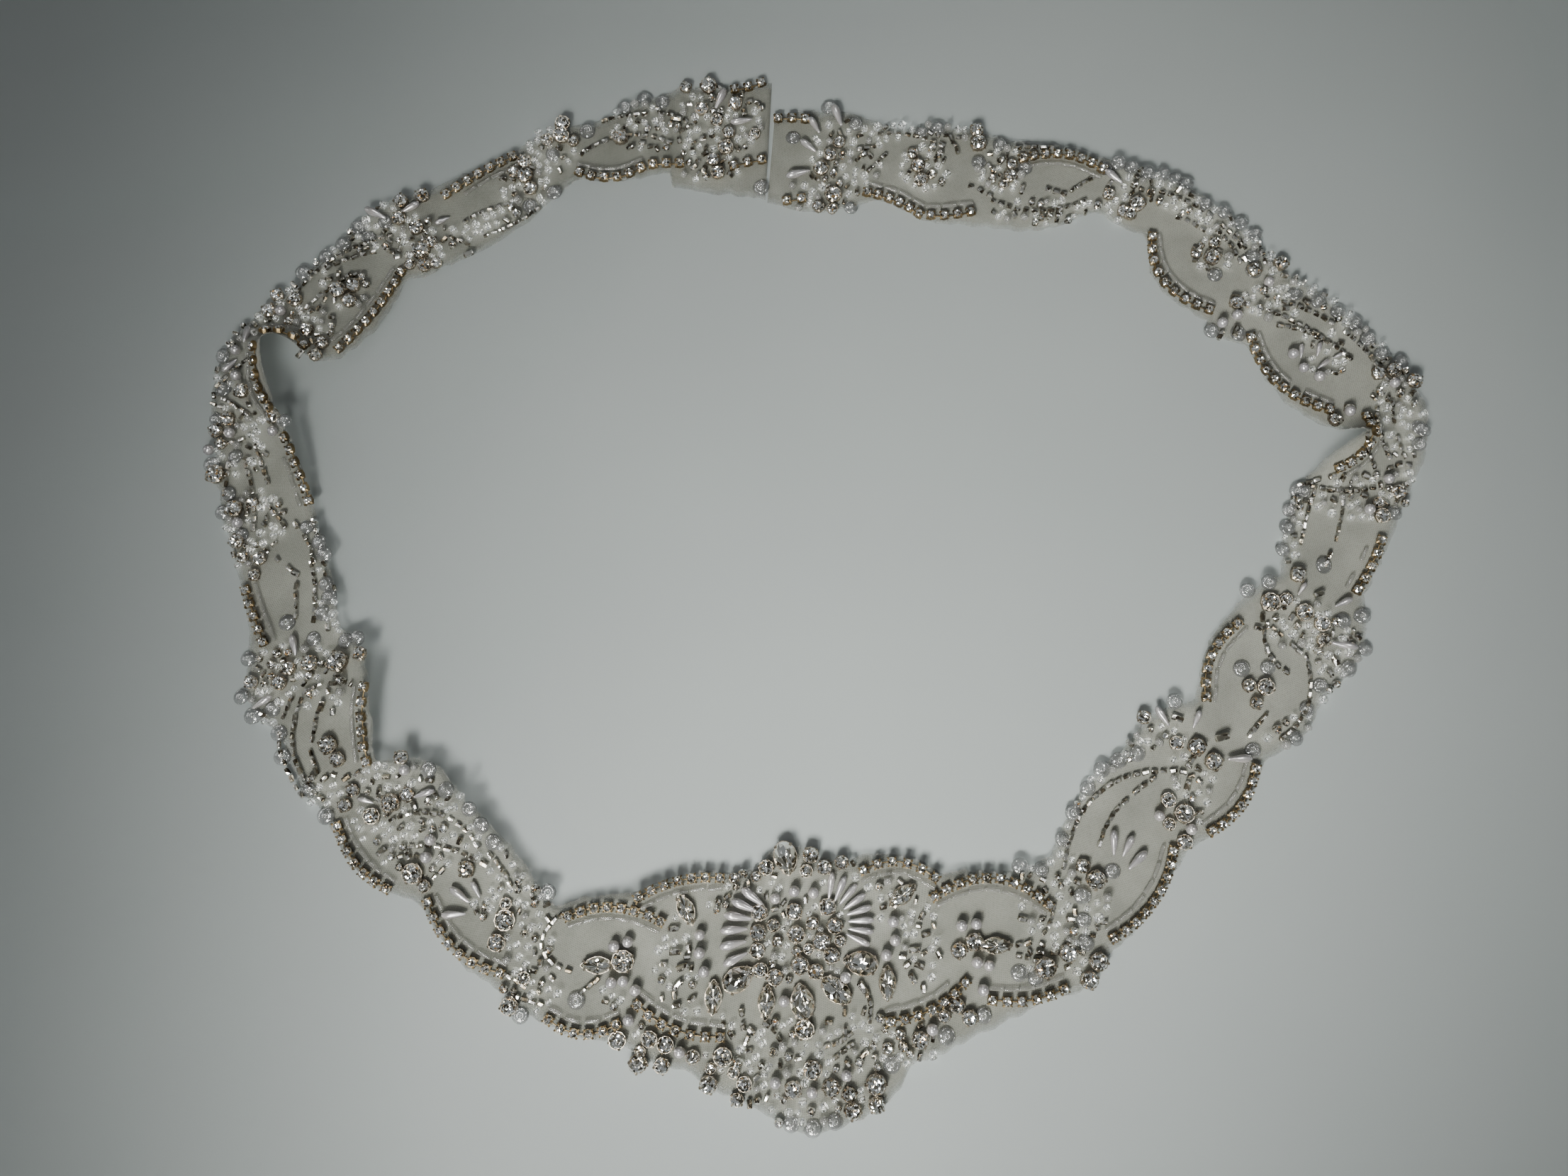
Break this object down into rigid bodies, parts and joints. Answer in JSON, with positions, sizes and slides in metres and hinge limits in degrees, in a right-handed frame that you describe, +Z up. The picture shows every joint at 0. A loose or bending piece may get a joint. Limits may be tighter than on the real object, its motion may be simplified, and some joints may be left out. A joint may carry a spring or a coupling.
{
  "type": "beaded bridal sash",
  "caption": "Scalloped net sash with a pointed front medallion, sewn with rhinestone cup chain, cut stones and beads, laid flat in a closed loop.",
  "frame": {"origin": "under the middle of the loop, on the surface the sash lies on", "axes": "+X along the sash's longest side, +Y from the medallion's point towards the two back ends, +Z up"},
  "size_m": [0.3807, 0.3281, 0.0131],
  "materials": {
    "net": "fine translucent net with clear beads",
    "cup_chain": "aged cups with clear faceted stones",
    "cut_stone": "clear, foil-backed, faceted"
  },
  "bodies": {
    "root": {"medallion_net": "net", "left_net_1": "net", "left_net_2": "net", "left_net_3": "net", "left_net_4": "net", "left_net_5": "net", "right_net_1": "net", "right_net_2": "net", "right_net_3": "net", "right_net_4": "net", "right_net_5": "net", "chain_medallion_1": "cup_chain", "chain_medallion_2": "cup_chain", "chain_medallion_3": "cup_chain", "chain_medallion_4": "cup_chain", "chain_medallion_5": "cup_chain", "chain_medallion_6": "cup_chain", "chain_medallion_7": "cup_chain", "chain_medallion_8": "cup_chain", "chain_left_1": "cup_chain", "chain_left_2": "cup_chain", "chain_left_3": "cup_chain", "chain_left_4": "cup_chain", "chain_left_5": "cup_chain", "chain_left_6": "cup_chain", "chain_left_7": "cup_chain", "chain_left_8": "cup_chain", "chain_left_9": "cup_chain", "chain_left_10": "cup_chain", "chain_left_11": "cup_chain", "chain_left_12": "cup_chain", "chain_left_13": "cup_chain", "chain_right_1": "cup_chain", "chain_right_2": "cup_chain", "chain_right_3": "cup_chain", "chain_right_4": "cup_chain", "chain_right_5": "cup_chain", "chain_right_6": "cup_chain", "chain_right_7": "cup_chain", "chain_right_8": "cup_chain", "chain_right_9": "cup_chain", "chain_right_10": "cup_chain", "chain_right_11": "cup_chain", "chain_right_12": "cup_chain", "crown_pear": "cut_stone", "pear_left": "cut_stone", "pear_middle": "cut_stone", "pear_right": "cut_stone", "oval_middle": "cut_stone", "navette_1": "cut_stone", "navette_2": "cut_stone", "navette_3": "cut_stone", "navette_4": "cut_stone", "navette_5": "cut_stone", "navette_6": "cut_stone", "navette_7": "cut_stone"}
  },
  "joints": []
}
